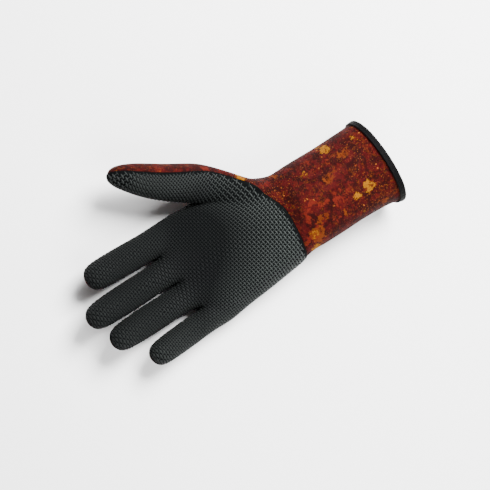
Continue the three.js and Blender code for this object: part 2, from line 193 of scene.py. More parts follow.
class Value:
    """One output of a node in a tree, which adds its own Math nodes when it takes part in a sum."""

    def __init__(self, maker, socket):
        self.maker = maker
        self.socket = socket

    def joined(self, operation, *others):
        return self.maker.node("ShaderNodeMath", {"operation": operation}, dict(enumerate((self, *others))))

    __add__ = __radd__ = partialmethod(joined, "ADD")
    __mul__ = __rmul__ = partialmethod(joined, "MULTIPLY")
    __sub__ = partialmethod(joined, "SUBTRACT")
    __truediv__ = partialmethod(joined, "DIVIDE")
    __pow__ = partialmethod(joined, "POWER")
    least = partialmethod(joined, "MINIMUM")
    most = partialmethod(joined, "MAXIMUM")
    sine = partialmethod(joined, "SINE")
    size = partialmethod(joined, "ABSOLUTE")

    def __rsub__(self, other):
        return self.maker.node("ShaderNodeMath", {"operation": "SUBTRACT"}, {0: other, 1: self})

    def rise(self, start, end):
        """0 below start, 1 above end, and smooth between them."""
        settings = {"interpolation_type": "SMOOTHSTEP", "clamp": True}
        values = {"Value": self, "From Min": start, "From Max": end}
        return self.maker.node("ShaderNodeMapRange", settings, values)

    def beside(self, output):
        """Another output of the same node."""
        return Value(self.maker, self.socket.node.outputs[output])


class Maker:
    """A node tree under construction, with one method that adds any node to it."""

    def __init__(self, tree):
        self.tree = tree

    def node(self, kind, settings=None, values=None, output=0):
        made = self.tree.nodes.new(kind)
        for key, value in (settings or {}).items():
            setattr(made, key, value)
        for key, value in (values or {}).items():
            if isinstance(value, Value):
                self.tree.links.new(value.socket, made.inputs[key])
            else:
                made.inputs[key].default_value = value
        return Value(self, made.outputs[output])

    def vector(self, operation, values, output=0):
        return self.node("ShaderNodeVectorMath", {"operation": operation}, values, output)


class Finish(Maker):
    """A material under construction."""

    def __init__(self, name):
        self.material = bpy.data.materials.new(name)
        self.material.use_nodes = True
        super().__init__(self.material.node_tree)
        self.tree.nodes.clear()
        self.output = self.tree.nodes.new("ShaderNodeOutputMaterial")

    def place(self):
        return self.node("ShaderNodeTexCoord", output=3)

    def sheet(self):
        return self.node("ShaderNodeUVMap", {"uv_map": SHEET_MAP})

    def attribute(self, name):
        return self.node("ShaderNodeAttribute", {"attribute_name": name}, output=2)

    def parts(self, vector):
        split = self.node("ShaderNodeSeparateXYZ", values={0: vector})
        return [split.beside(part) for part in range(3)]

    def moved(self, vector, scale=(1.0, 1.0, 1.0), shift=(0.0, 0.0, 0.0)):
        return self.node("ShaderNodeMapping", values={"Vector": vector, "Location": shift, "Scale": scale})

    def noise(self, vector, scale, detail=3.0, roughness=0.5, seed=0.0):
        values = {"Vector": vector, "W": seed, "Scale": scale, "Detail": detail, "Roughness": roughness}
        return self.node("ShaderNodeTexNoise", {"noise_dimensions": "4D"}, values)

    def cells(self, vector, scale, part):
        """Distance from the middle of the nearest cell, and one of the three random numbers of that cell."""
        near = self.node("ShaderNodeTexVoronoi", {"feature": "F1"}, {"Vector": vector, "Scale": scale})
        return near, self.parts(near.beside("Color"))[part]

    def warped(self, vector, scale, amount, detail, roughness):
        """The vector shifted by a noise of its own, up to about half of amount each way."""
        values = {"Vector": vector, "Scale": scale, "Detail": detail, "Roughness": roughness}
        push = self.node("ShaderNodeTexNoise", values=values, output=1)
        centred = self.vector("SUBTRACT", {0: push, 1: (0.5, 0.5, 0.5)})
        return self.vector("ADD", {0: vector, 1: self.vector("SCALE", {0: centred, "Scale": amount})})

    def blend(self, below, above, factor, mode="MIX"):
        """Colour above over colour below."""
        def tint(value):
            return value if isinstance(value, Value) else (*value, 1.0)
        settings = {"data_type": "RGBA", "blend_type": mode, "clamp_factor": True}
        return self.node("ShaderNodeMix", settings, {0: factor, 6: tint(below), 7: tint(above)}, 2)

    def bump(self, height, distance, strength):
        values = {"Height": height, "Distance": distance, "Strength": strength}
        return self.node("ShaderNodeBump", values=values)

    def finished(self, values):
        shader = self.node("ShaderNodeBsdfPrincipled", values=values)
        self.tree.links.new(shader.socket, self.output.inputs["Surface"])
        return self.material


# Finishes

def worn_and_lit(finish, place):
    """How far the rubber is made pale, partly by wear and partly by painted light: 0 in the painted shade of
    the hollow across the palm, 1 at the rim of the heel, where painted light falls.

    The hollow runs from the thumb's root to the root of the ring finger along a parabola.
    """
    tilt, bend, start = 0.76, 20.0, 0.0056  # of the parabola x = tilt * y - bend * y * y - start
    early, reach = 0.001, 0.045  # from the parabola to where the heel starts to pale, and to its palest
    finger_root, ring_finger, thumb_root = -0.02, -0.01, 0.04
    x, y, _ = finish.parts(place)
    hollow = y * tilt - y * y * bend - start
    slope = tilt - y * (bend * 2)
    heel = (x - hollow + early) / (slope * slope + 1) ** 0.5 / reach
    # The fingers, paler on the little finger's side, and the thumb are made paler too: wear together with
    # painted light.
    little = (ring_finger - y).rise(0.0, 0.04) * 0.22
    fingers = (finger_root - x).rise(0.0, 0.045) * (little + 0.2)
    thumb = (y - thumb_root).rise(0.0, 0.03) * 0.5
    return heel.most(fingers).most(thumb).most(0.0).least(1.0)


def rubber_finish(name, sheet, fresh_and_shaded, worn_and_lit_colour, gloss, rough):
    """Moulded rubber with a fine grain, paler and shinier where the hand grips hardest; the paleness is
    partly painted light on the heel and painted shade in the hollow.
    """
    finish = Finish(name)
    place = finish.place()
    clouds = finish.noise(place, 26.0, 4.0, 0.6)
    grain = finish.noise(place, 2600.0, 2.0, 0.6)
    scuffs = finish.noise(finish.moved(place, scale=(60.0, 260.0, 160.0)), 1.0, 5.0, 0.7, seed=3.0)
    wear_and_light = worn_and_lit(finish, place)
    patchy_wear_and_light = wear_and_light * (clouds.rise(0.3, 0.75) * 0.3 + scuffs.rise(0.5, 0.8) * 0.25 + 0.75)
    # Colour between the fresh rubber, dark with painted shade in the hollow, and the worn rubber, pale with
    # painted light on the heel.
    ground = finish.blend(fresh_and_shaded, worn_and_lit_colour, patchy_wear_and_light)
    inside = finish.attribute("inside")
    return finish.finished({
        "Base Color": finish.blend(ground, sheet.lining, inside),
        "Roughness": clouds * 0.1 + (1 - wear_and_light) * 0.42 + rough + inside * 0.2,
        "Normal": finish.bump(grain + scuffs * 0.6, 0.00012, 0.5),
        "Specular IOR Level": gloss,
    })


def knit(finish, wale):
    """Height of the loops of a fine jersey, in columns along the sheet."""
    along, across, _ = finish.parts(finish.sheet())
    turns = 2 * math.pi / wale
    columns = (across * turns).sine()
    return (along * turns * 1.15 + columns * 1.3).sine() * 0.5 + columns.size()


def ground_print(finish, cloth, place, torn):
    """The print's maroon ground with its red-brown and orange-brown patches, and how red each area is."""
    ragged = finish.warped(place, 95.0, 0.012, 5.0, 0.7)
    mottle = finish.noise(torn, 130.0, 5.0, 0.7, seed=2.0)
    printed = finish.blend(cloth.maroon, cloth.wine, mottle.rise(0.46, 0.56))
    field = finish.noise(place, 16.0, 2.0, 0.5, seed=4.0).rise(0.38, 0.6) * 0.75 + 0.25
    rusty = finish.noise(torn, 90.0, 6.0, 0.7, seed=5.0).rise(0.55, 0.58)
    printed = finish.blend(printed, cloth.rust, rusty * field * 0.8)
    brown = finish.noise(ragged, 38.0, 6.0, 0.6, seed=9.0).rise(0.585, 0.61)
    printed = finish.blend(printed, cloth.umber, brown * (mottle.rise(0.62, 0.45) * 0.4 + 0.4))
    crumbs = finish.noise(torn, 420.0, 3.0, 0.65, seed=12.0)
    printed = finish.blend(printed, cloth.rust, crumbs.rise(0.57, 0.62) * 0.45)
    dark = finish.noise(torn, 210.0, 4.0, 0.65, seed=13.0)
    printed = finish.blend(printed, cloth.maroon, dark.rise(0.54, 0.59) * 0.85)
    vein = (finish.noise(torn, 60.0, 3.0, 0.6, seed=14.0) - 0.5).size()
    veins = (0.011 - vein).rise(0.0, 0.006) * dark.rise(0.4, 0.6)
    return finish.blend(printed, cloth.umber, veins * 0.5), field


def yellow_patches(finish, place, torn):
    """Where the print is yellow: frayed patches in a quarter of wide cells, with holes in them."""
    tattered = finish.warped(finish.moved(place, shift=(0.21, 0.4, 0.13)), 170.0, 0.014, 5.0, 0.8)
    near, pick = finish.cells(tattered, 42.0, 0)
    fray = (finish.noise(place, 330.0, 4.0, 0.7, seed=16.0) - 0.5) * 0.22
    patch = (0.22 - near + fray).rise(0.0, 0.012) * pick.rise(0.25, 0.26)
    holes = finish.noise(torn, 190.0, 3.0, 0.6, seed=17.0)
    return patch * (1 - holes.rise(0.55, 0.58) * 0.85)


def light_specks(finish, place, torn, field):
    """Where the print has light specks in clusters, and light dust, more of it where there is less red."""
    dots, pick = finish.cells(torn, 260.0, 1)
    cluster = finish.noise(place, 42.0, 2.0, 0.5, seed=21.0)
    specks = (0.22 - dots).rise(0.0, 0.07) * pick.rise(0.5, 0.9) * cluster.rise(0.5, 0.62) * 0.8
    grains, pick = finish.cells(place, 750.0, 2)
    dust = (0.34 - grains).rise(0.0, 0.2) * pick.rise(0.35, 1.0) * (1.15 - field) * 0.55
    return specks, dust


def cloth_finish(cloth, sheet):
    """Printed nylon jersey: rock-like patches of reds and browns with a few yellow ones, over a fine knit."""
    finish = Finish("printed_cloth")
    place = finish.place()
    torn = finish.warped(place, 300.0, 0.005, 4.0, 0.7)
    grain = finish.noise(place, 1100.0, 3.0, 0.8, seed=1.0)
    printed, field = ground_print(finish, cloth, place, torn)
    printed = finish.blend(printed, cloth.ochre, yellow_patches(finish, place, torn))
    for spread in light_specks(finish, place, torn, field):
        printed = finish.blend(printed, cloth.spark, spread)

    shade = (grain * 2.3 - 0.15).most(0.0)
    tone = finish.node("ShaderNodeCombineColor", values={0: shade, 1: shade, 2: shade})
    inked = finish.blend(printed, tone, 0.85, "MULTIPLY")
    inside = finish.attribute("inside")
    soft = finish.noise(place, 24.0, 3.0, 0.5, seed=30.0)
    return finish.finished({
        "Base Color": finish.blend(inked, sheet.lining, inside),
        "Roughness": soft * 0.2 + 0.62,
        "Normal": finish.bump(knit(finish, cloth.wale) * 0.6 + grain * 0.8, 0.00014, 0.6),
        "Specular IOR Level": 0.04,
    })


def tape_finish(binding):
    """Woven polyester tape with a satin face and fine cross ribs."""
    finish = Finish("binding_tape")
    place = finish.place()
    along, across, _ = finish.parts(finish.sheet())
    rib, thread = 0.00055, 0.0004
    ribs = (along * (2 * math.pi / rib)).sine()
    threads = (across * (2 * math.pi / thread)).sine()
    fluff = finish.noise(place, 700.0, 3.0, 0.6)
    lighter = tuple(part * 2.6 + 0.001 for part in binding.tape)
    return finish.finished({
        "Base Color": finish.blend(binding.tape, lighter, fluff.rise(0.4, 0.75) * 0.6),
        "Roughness": fluff * 0.2 + 0.45,
        "Normal": finish.bump(ribs * 0.5 + threads * 0.35 + fluff * 0.7, 0.00009, 0.6),
        "Specular IOR Level": 0.03,
    })


def thread_finish(binding):
    """Twisted sewing thread."""
    finish = Finish("sewing_thread")
    place = finish.place()
    twist = finish.noise(place, 3000.0, 2.0, 0.5)
    lighter = tuple(part * 2.0 for part in binding.thread)
    return finish.finished({
        "Base Color": finish.blend(binding.thread, lighter, twist.rise(0.4, 0.7)),
        "Roughness": 0.5,
        "Normal": finish.bump(twist, 0.00005, 0.5),
        "Specular IOR Level": 0.06,
    })


# Panels

def merged_copy(node, nearest=1e-6):
    """A copy of a CAD node's mesh with its loose triangles joined at their corners."""
    shape = bmesh.new()
    shape.from_mesh(frame["nodes"][node].data)
    bmesh.ops.remove_doubles(shape, verts=shape.verts, dist=nearest)
    return shape


def flood(start, allowed):
    """Every face that is reached from a first one over allowed edges, with the edge that leads to it."""
    seen = {start}
    reached = [start]
    while reached:
        for edge in reached.pop().edges:
            for face in edge.link_faces:
                if face not in seen and allowed(edge, face):
                    seen.add(face)
                    reached.append(face)
                    yield edge, face


def outer_skin(shape, sharp=math.radians(50)):
    """The largest stretch of faces without a sharp edge in it."""
    largest = set()
    left = set(shape.faces)
    while left:
        start = left.pop()
        found = flood(start, lambda edge, face: edge.calc_face_angle() < sharp)
        skin = {start, *(face for _, face in found)}
        left -= skin
        largest = max(largest, skin, key=lambda faces: sum(face.calc_area() for face in faces))
    return largest


def cut_lines(faces):
    """The edges along which the four-cornered faces of a skin were cut into triangles.

    A skin comes from one round of subdivision, so each triangle joins an old point, the middle of an old edge
    and the middle of an old face. Walking over the triangles gives every point its kind. The middles of
    edges, the most numerous kind, lie on no cut.
    """
    start = next(iter(faces))
    kinds = {corner: kind for kind, corner in enumerate(start.verts)}
    for edge, face in flood(start, lambda edge, face: face in faces):
        corner = next(v for v in face.verts if v not in edge.verts)
        kinds.setdefault(corner, 3 - sum(kinds[v] for v in edge.verts))
    numbers = list(kinds.values())
    on_edges = max(range(3), key=numbers.count)
    return {edge for face in faces for edge in face.edges if all(kinds[v] != on_edges for v in edge.verts)}


def join_pairs(shape, faces):
    """Joins triangles in pairs, whatever the angle between them."""
    most = math.pi
    bmesh.ops.join_triangles(shape, faces=faces, angle_face_threshold=most, angle_shape_threshold=most)


def four_cornered_panel(node, edge_round):
    """A closed bmesh of a panel in four-cornered faces of three kinds, with its cut edges rounded."""
    shape = merged_copy(node)
    kind = shape.faces.layers.int.new("kind")
    outer = outer_skin(shape)
    outer_points = {v for face in outer for v in face.verts}
    for face in shape.faces:
        if face in outer:
            face[kind] = OUTER
        elif outer_points.intersection(face.verts):
            face[kind] = RIM
        else:
            face[kind] = INNER
    cuts = cut_lines(outer)
    bmesh.ops.dissolve_edges(shape, edges=[edge for edge in shape.edges if edge in cuts], use_verts=False)
    join_pairs(shape, [face for face in shape.faces if face[kind] != OUTER])
    if any(len(face.verts) != 4 for face in shape.faces if face[kind] == OUTER):
        raise RuntimeError(f"{node} has faces without four corners on its outer skin")
    rims = [edge for edge in shape.edges if {face[kind] for face in edge.link_faces} == {OUTER, RIM}]
    bmesh.ops.bevel(
        shape, geom=rims, offset=edge_round, segments=2, profile=0.5, affect="EDGES", material=-1
    )
    return shape


def linked(name, data):
    """A new object in the scene."""
    made = bpy.data.objects.new(name, data)
    bpy.context.scene.collection.objects.link(made)
    return made


def object_of(name, shape):
    mesh = bpy.data.meshes.new(name)
    shape.to_mesh(mesh)
    shape.free()
    return linked(name, mesh)


def evaluated_mesh(made):
    """The plain mesh that an object's modifiers make; the object is removed."""
    mesh = bpy.data.meshes.new_from_object(made.evaluated_get(bpy.context.evaluated_depsgraph_get()))
    bpy.data.objects.remove(made)
    return mesh


def subdivided(mesh, levels):
    """The mesh after rounds of smooth subdivision, as a new mesh."""
    holder = linked("subdivided", mesh)
    smooth = holder.modifiers.new("Smooth", "SUBSURF")
    smooth.levels = levels
    smooth.render_levels = levels
    smooth.quality = 4
    return evaluated_mesh(holder)


def values_of(items, name, size, kind=float):
    """One property of a mesh's many items, as rows of numbers."""
    found = np.empty(len(items) * size, kind)
    items.foreach_get(name, found)
    return found.reshape(-1, size)


def positions(mesh):
    return values_of(mesh.vertices, "co", 3)


def keep_size(mesh, levels, rounds=3):
    """Pushes the points out so that the smooth surface passes through the places they had."""
    wanted = positions(mesh)
    for _ in range(rounds):
        smooth = subdivided(mesh, levels)
        error = wanted - positions(smooth)[: len(wanted)]
        bpy.data.meshes.remove(smooth)
        mesh.vertices.foreach_set("co", (positions(mesh) + error).ravel())
        mesh.update()


def tree_of(places):
    """A look-up of the nearest places."""
    tree = KDTree(len(places))
    for number, place in enumerate(places):
        tree.insert(place, number)
    tree.balance()
    return tree


def skin_normals():
    """Look-up of the outer normals of both CAD panels by place."""
    normals = []
    places = []
    for node in (GRIP, CLOTH):
        shape = merged_copy(node)
        for face in outer_skin(shape):
            places.append(face.calc_center_median())
            normals.append(face.normal.copy())
        shape.free()
    return tree_of(places), normals


def nearest_place(place, lines):
    """The place on any of the straight lines that is nearest to another place."""
    feet = []
    for start, end in lines:
        along = intersect_point_line(place, start, end)[1]
        feet.append(start.lerp(end, min(max(along, 0.0), 1.0)))
    return min(feet, key=lambda foot: (foot - place).length)


def rim_neighbours(shape):
    """Every point on the rim of a panel's outer skin, with the points beside it on the rim."""
    skin = outer_skin(shape)
    beside = {}
    for edge in shape.edges:
        if sum(face in skin for face in edge.link_faces) == 1:
            for point in edge.verts:
                beside.setdefault(point, []).append(edge.other_vert(point))
    return beside


def seam_shifts(sheet, least=1e-5):
    """Places on the grip panel's rim round the thumb's root, and their ways to an evenly bent seam."""
    shape = merged_copy(GRIP)
    beside = rim_neighbours(shape)
    corner = Vector(sheet.corner)
    much = {point: math.exp(-((point.co - corner).length / sheet.span) ** 4) for point in beside}
    even = {point: point.co.copy() for point in beside}
    for _ in range(sheet.rounds):
        middles = {
            point: sum((even[other] for other in others), Vector()) / len(others)
            for point, others in beside.items()
        }
        even = {point: even[point].lerp(middles[point], much[point] / 2) for point in beside}
    lines = [(even[point], even[other]) for point in beside for other in beside[point]]
    shifts = [(point.co.copy(), nearest_place(point.co, lines) - point.co) for point in beside]
    shape.free()
    return [(place, way) for place, way in shifts if way.length > least]


def ease_seam(mesh, sheet):
    """Slides the skin along itself near the thumb's root, so that the wrist seam turns in an even arc.

    The way depends on the place alone, so that both panels keep together along the seam.
    """
    look, fade = 0.012, 0.0125  # how far off normals are gathered, and where they would count for nothing
    tree, normals = skin_normals()
    shifts = seam_shifts(sheet)
    for v in mesh.vertices:
        nearest = min((v.co - place).length for place, _ in shifts)
        if nearest > sheet.reach * 2.5:
            continue
        shift = Vector()
        total = 0.0
        for place, way in shifts:
            part = math.exp((nearest ** 2 - (v.co - place).length_squared) / (sheet.reach / 3) ** 2)
            shift += way * part
            total += part
        shift *= math.exp(-(nearest / sheet.reach) ** 2) / total
        normal = Vector()
        for _, number, far in tree.find_range(v.co, look):
            normal += normals[number] * (fade - far)
        normal.normalize()
        v.co += shift - normal * normal.dot(shift)
    mesh.update()


def shortest_path(start, goals, allowed):
    """Edges of the shortest way from a point to any of the goals, over the allowed faces."""
    best = {start: 0.0}
    came = {}
    queue = [(0.0, start.index, start)]
    while queue:
        far, _, point = heapq.heappop(queue)
        if point in goals:
            break
        if far > best[point]:
            continue
        for edge in point.link_edges:
            if not allowed.issuperset(edge.link_faces):
                continue
            other = edge.other_vert(point)
            along = far + edge.calc_length()
            if along < best.get(other, math.inf):
                best[other] = along
                came[other] = (edge, point)
                heapq.heappush(queue, (along, other.index, other))
    path = []
    while point in came:
        edge, point = came[point]
        path.append(edge)
    return path


def cut_sleeve(shape, skin, mouth_depth=0.02):
    """Marks a cut along the sleeve's little-finger side, from the mouth to the rest of the skin's rim."""
    rim = {v for v in shape.verts if len({face in skin for face in v.link_faces}) == 2}
    furthest = max(v.co.x for v in rim)
    mouth = {v for v in rim if v.co.x > furthest - mouth_depth}
    start = min(mouth, key=lambda v: v.co.y)
    for edge in shortest_path(start, rim - mouth, skin):
        edge.seam = True


def unwrap(made, sleeve_seam):
    """Gives a panel's outer skin a flat pattern of any size and direction, and leaves the skin selected."""
    mesh = made.data
    if SHEET_MAP not in mesh.uv_layers:
        mesh.uv_layers.new(name=SHEET_MAP)
    shape = bmesh.new()
    shape.from_mesh(mesh)
    kind = shape.faces.layers.int["kind"]
    skin = {face for face in shape.faces if face[kind] == OUTER}
    if sleeve_seam:
        cut_sleeve(shape, skin)
    for face in shape.faces:
        face.select_set(face in skin)
    shape.to_mesh(mesh)
    shape.free()

    bpy.context.view_layer.objects.active = made
    made.select_set(True)
    bpy.ops.object.mode_set(mode="EDIT")
    bpy.ops.uv.unwrap(method="MINIMUM_STRETCH", margin=0.0)
    bpy.ops.object.mode_set(mode="OBJECT")
    made.select_set(False)


def cross(first, second):
    """Signed areas between flat directions, row by row."""
    return first[:, 0] * second[:, 1] - first[:, 1] * second[:, 0]


def lay_flat(made, sleeve_seam, middle=(-0.02, 0.05)):
    """Unwraps the outer skin as a flat pattern, true to size and direction over the middle of the hand."""
    unwrap(made, sleeve_seam)
    mesh = made.data
    along_x = positions(mesh)[values_of(mesh.loops, "vertex_index", 1, int)[:, 0], 0]
    flat = values_of(mesh.uv_layers[SHEET_MAP].data, "uv", 2)
    real = 0.0
    drawn = 0.0
    chosen = []
    for face in mesh.polygons:
        if face.select and middle[0] < face.center.x < middle[1]:
            loops = list(face.loop_indices)
            chosen += loops
            ring = flat[loops]
            real += face.area
            drawn += cross(ring, np.roll(ring, -1, axis=0)).sum() / 2
    flat *= math.sqrt(real / abs(drawn))
    if drawn < 0:
        flat[:, 1] *= -1
    used = flat[chosen]
    centre = used.mean(0)
    slope = np.linalg.lstsq(used - centre, along_x[chosen] - along_x[chosen].mean(), rcond=None)[0]
    along = slope / np.linalg.norm(slope)
    turn = np.array([[along[0], along[1]], [-along[1], along[0]]])
    flat = (flat - centre) @ turn.T
    mesh.uv_layers[SHEET_MAP].data.foreach_set("uv", flat.ravel())


def mark_inside(mesh):
    """A point attribute that is 1 inside the glove and 0 on its outer skin and rounded edges."""
    inside = np.zeros(len(mesh.vertices))
    kinds = mesh.attributes["kind"].data
    for face in mesh.polygons:
        if kinds[face.index].value == INNER:
            inside[list(face.vertices)] = 1.0
    layer = mesh.attributes.new("inside", "FLOAT", "POINT")
    layer.data.foreach_set("value", inside.astype(np.float32))


def settled(edges, weight, wanted, value, rounds=700, enough=1e-10):
    """Values of the points whose differences over the edges come closest to the wanted ones.

    Found by conjugate gradients from the values given.
    """
    start, end = edges.T

    def gathered(change):
        change = change * weight
        return np.bincount(end, change, len(value)) - np.bincount(start, change, len(value))

    rest = gathered(wanted - (value[end] - value[start]))
    search = rest.copy()
    size = rest @ rest
    for _ in range(rounds):
        pull = gathered(search[end] - search[start])
        pace = size / (search @ pull)
        value = value + pace * search
        rest = rest - pace * pull
        size, before = rest @ rest, size
        search = rest + search * (size / before)
        if size < enough:
            break
    return value


def even_map(place, normals, edges, fineness):
    """Flat coordinates of a skin along the hand's own directions: to the sleeve, and round each finger.

    Every edge asks for its own length along these two directions, drawn out where the net is finer. On the
    domed fingertips the edges end up too short or too long, so they ask again with that put right.
    """
    finger_roots, tips, tip_length, heel_length = -0.025, -0.045, 0.02, 0.055
    least_share, most_share, tip_share = 0.8, 1.25, 0.75
    forward = np.array([1.0, 0.0, 0.0]) - normals * normals[:, :1]
    forward /= np.linalg.norm(forward, axis=1)[:, None]
    around = np.cross(normals, forward)
    rise = np.clip((place[:, 0] - finger_roots) / heel_length, 0, 1)
    finer = fineness + (1 - fineness) * rise * rise * (3 - 2 * rise)
    start, end = edges.T
    step = place[end] - place[start]
    long = np.linalg.norm(step, axis=1)
    drawn = finer.copy()
    flat = np.column_stack([place[:, 0] * finer, place[:, 1] * finer])
    for _ in range(3):
        for column, way in enumerate((forward, around)):
            asked = way * drawn[:, None]
            wanted = (step * (asked[start] + asked[end])).sum(1) / 2
            flat[:, column] = settled(edges, long ** -2, wanted, flat[:, column])
        got = np.linalg.norm(flat[end] - flat[start], axis=1) / long
        met = np.bincount(end, got, len(place)) + np.bincount(start, got, len(place))
        met /= np.bincount(end, minlength=len(place)) + np.bincount(start, minlength=len(place))
        most = most_share + tip_share * np.clip((tips - place[:, 0]) / tip_length, 0, 1)
        drawn = np.clip(drawn * finer / met, finer * least_share, finer * most)
    return flat


def crossings(place, normals, strength, triangles, flat, grip):
    """Place, normal, direction and strength of every strand that lies on top in a plain weave over the map.

    Strands of one set cross over every second strand of the other, so each set repeats along the diagonal.
    """
    cell = grip.pitch * math.sqrt(2)
    diagonal = grip.turn - math.pi / 4
    turned = np.array([[math.cos(diagonal), math.sin(diagonal)], [-math.sin(diagonal), math.cos(diagonal)]])
    grid = flat @ turned.T / cell
    first, *others = triangles.T
    to_second, to_third = (place[other] - place[first] for other in others)
    found = []
    for shift, way, relief in ((0.0, math.pi / 4, 1.0), (0.5, 3 * math.pi / 4, grip.under)):
        corner = grid[triangles] + shift
        one, two = corner[:, 1] - corner[:, 0], corner[:, 2] - corner[:, 0]
        area = cross(one, two)

        def shares(target):
            return cross(target, two) / area, cross(one, target) / area

        ahead = np.tile([math.cos(way) / cell, math.sin(way) / cell], (len(triangles), 1))
        left, right = shares(ahead)
        along = left[:, None] * to_second + right[:, None] * to_third
        lowest = np.ceil(corner.min(1))
        for offset in ((0, 0), (1, 0), (0, 1), (1, 1)):
            left, right = shares(lowest + offset - corner[:, 0])
            hit = (left >= 0) & (right >= 0) & (left + right < 1)
            parts = np.column_stack((1 - left - right, left, right))[hit]

            def mixed(values):
                return np.einsum("nc,nc...->n...", parts, values[triangles[hit]])

            found.append((mixed(place), mixed(normals), along[hit], mixed(strength) * relief))
    return [np.concatenate(values) for values in zip(*found)]


def dressed(made, finish, node):
    """The object as the visual piece of a CAD node."""
    made.data.shade_smooth()
    made.data.materials.clear()
    made.data.materials.append(finish)
    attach(made, "root")
    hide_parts(node)
    return made


def added_piece(name, mesh):
    """A visual piece that replaces no CAD node."""
    made = linked(name, mesh)
    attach(made, "root")


def panel(node, name, sheet, finish, sleeve_seam):
    """A panel's visual piece, made from its CAD node."""
    made = object_of(name, four_cornered_panel(node, sheet.edge_round))
    ease_seam(made.data, sheet)
    keep_size(made.data, sheet.smoothness)
    lay_flat(made, sleeve_seam)
    mark_inside(made.data)
    made.data = subdivided(made.data, sheet.smoothness)
    made.data.name = name
    return dressed(made, finish, node)


# Geometry Nodes

class Weave(Maker):
    """A Geometry Nodes tree under construction."""

    def __init__(self, name, inputs):
        super().__init__(bpy.data.node_groups.new(name, "GeometryNodeTree"))
        self.ids = {}
        for label, kind in {"Geometry": "Geometry", **inputs}.items():
            made = self.tree.interface.new_socket(label, in_out="INPUT", socket_type=f"NodeSocket{kind}")
            self.ids[label] = made.identifier
        self.tree.interface.new_socket("Geometry", in_out="OUTPUT", socket_type="NodeSocketGeometry")
        self.start = self.tree.nodes.new("NodeGroupInput")
        self.end = self.tree.nodes.new("NodeGroupOutput")

    def given(self, label):
        return Value(self, self.start.outputs[label])

    def xyz(self, *parts):
        return self.node("ShaderNodeCombineXYZ", values=dict(enumerate(parts)))

    def named(self, name, kind="FLOAT_VECTOR"):
        return self.node("GeometryNodeInputNamedAttribute", {"data_type": kind}, {"Name": name})

    def facing(self, axes, first, second):
        """The rotation that points the first axis along one direction and the second near another."""
        settings = {"primary_axis": axes[0], "secondary_axis": axes[1]}
        return self.node("FunctionNodeAxesToRotation", settings, {0: first, 1: second})

    def finish(self, points, segments, rings, rotation, scale):
        """A small ball on every point, drawn out along X, as real geometry in the given material."""
        values = {"Segments": segments, "Rings": rings, "Radius": 0.5}
        ball = self.node("GeometryNodeMeshUVSphere", values=values)
        lying = {"Geometry": ball, "Rotation": (0.0, math.pi / 2, 0.0)}
        grain = self.node("GeometryNodeTransform", values=lying)
        values = {"Points": points, "Instance": grain, "Rotation": rotation, "Scale": scale}
        grains = self.node("GeometryNodeInstanceOnPoints", values=values)
        real = self.node("GeometryNodeRealizeInstances", values={"Geometry": grains})
        smooth = self.node("GeometryNodeSetShadeSmooth", values={"Geometry": real})
        values = {"Geometry": smooth, "Material": self.given("Material")}
        painted = self.node("GeometryNodeSetMaterial", values=values)
        self.tree.links.new(painted.socket, self.end.inputs[0])
        return self


def grown(made, weave, values):
    """The plain mesh that a tree makes from an object, which is then removed."""
    growth = made.modifiers.new("Growth", "NODES")
    growth.node_group = weave.tree
    for label, value in values.items():
        growth[weave.ids[label]] = value
    return evaluated_mesh(made)


def net_tree(most_stretch=1.1):
    """A strand on every point of the net, lying along the skin and standing a little out of it."""
    floats = ("Strand length", "Strand width", "Strand height")
    weave = Weave("Raised net", {**dict.fromkeys(floats, "Float"), "Material": "Material"})
    strand_length, width, height = (weave.given(label) for label in floats)
    along = weave.named("along")
    strength = weave.named("strength", "FLOAT")
    stretch = weave.vector("LENGTH", {0: along}, 1).least(most_stretch)
    fitted = weave.vector("SCALE", {0: weave.xyz(strand_length, width, height * 2.0), "Scale": stretch})
    scale = weave.vector("MULTIPLY", {0: fitted, 1: weave.xyz(1.0, strength, strength)})
    return weave.finish(weave.given("Geometry"), 7, 4, weave.facing("ZX", weave.named("out"), along), scale)


def stitch_tree():
    """Short threads laid end to end along a closed line, each with its ends sunk into the tape."""
    inputs = {"Stitches": "Int", "Stitch": "Float", "Thread width": "Float", "Material": "Material"}
    weave = Weave("Stitches", inputs)
    line = weave.node("GeometryNodeMeshToCurve", values={"Mesh": weave.given("Geometry")})
    values = {"Curve": line, "Count": weave.given("Stitches")}
    points = weave.node("GeometryNodeCurveToPoints", {"mode": "COUNT"}, values)
    facing = weave.facing("XZ", points.beside("Tangent"), weave.named("out"))
    width = weave.given("Thread width")
    return weave.finish(points, 8, 6, facing, weave.xyz(weave.given("Stitch"), width, width))


# Net

def net_carrier(mesh, border):
    """The grip panel's outer skin in triangles: places, normals, strength of the net, edges, triangles."""
    carrier = bmesh.new()
    carrier.from_mesh(mesh)
    kind = carrier.faces.layers.int["kind"]
    others = [face for face in carrier.faces if face[kind] != OUTER]
    bmesh.ops.delete(carrier, geom=others, context="FACES")
    bmesh.ops.triangulate(carrier, faces=carrier.faces)
    carrier.normal_update()
    carrier.verts.index_update()
    tree = tree_of([v.co for v in carrier.verts if any(edge.is_boundary for edge in v.link_edges)])
    distance = np.array([tree.find(v.co)[2] for v in carrier.verts])
    strength = np.clip((distance - border * 0.7) / (border * 0.6), 0, 1)
    place = np.array([v.co for v in carrier.verts])
    normals = np.array([v.normal for v in carrier.verts])
    edges = np.array([[v.index for v in edge.verts] for edge in carrier.edges])
    triangles = np.array([[v.index for v in face.verts] for face in carrier.faces])
    carrier.free()
    return place, normals, strength, edges, triangles


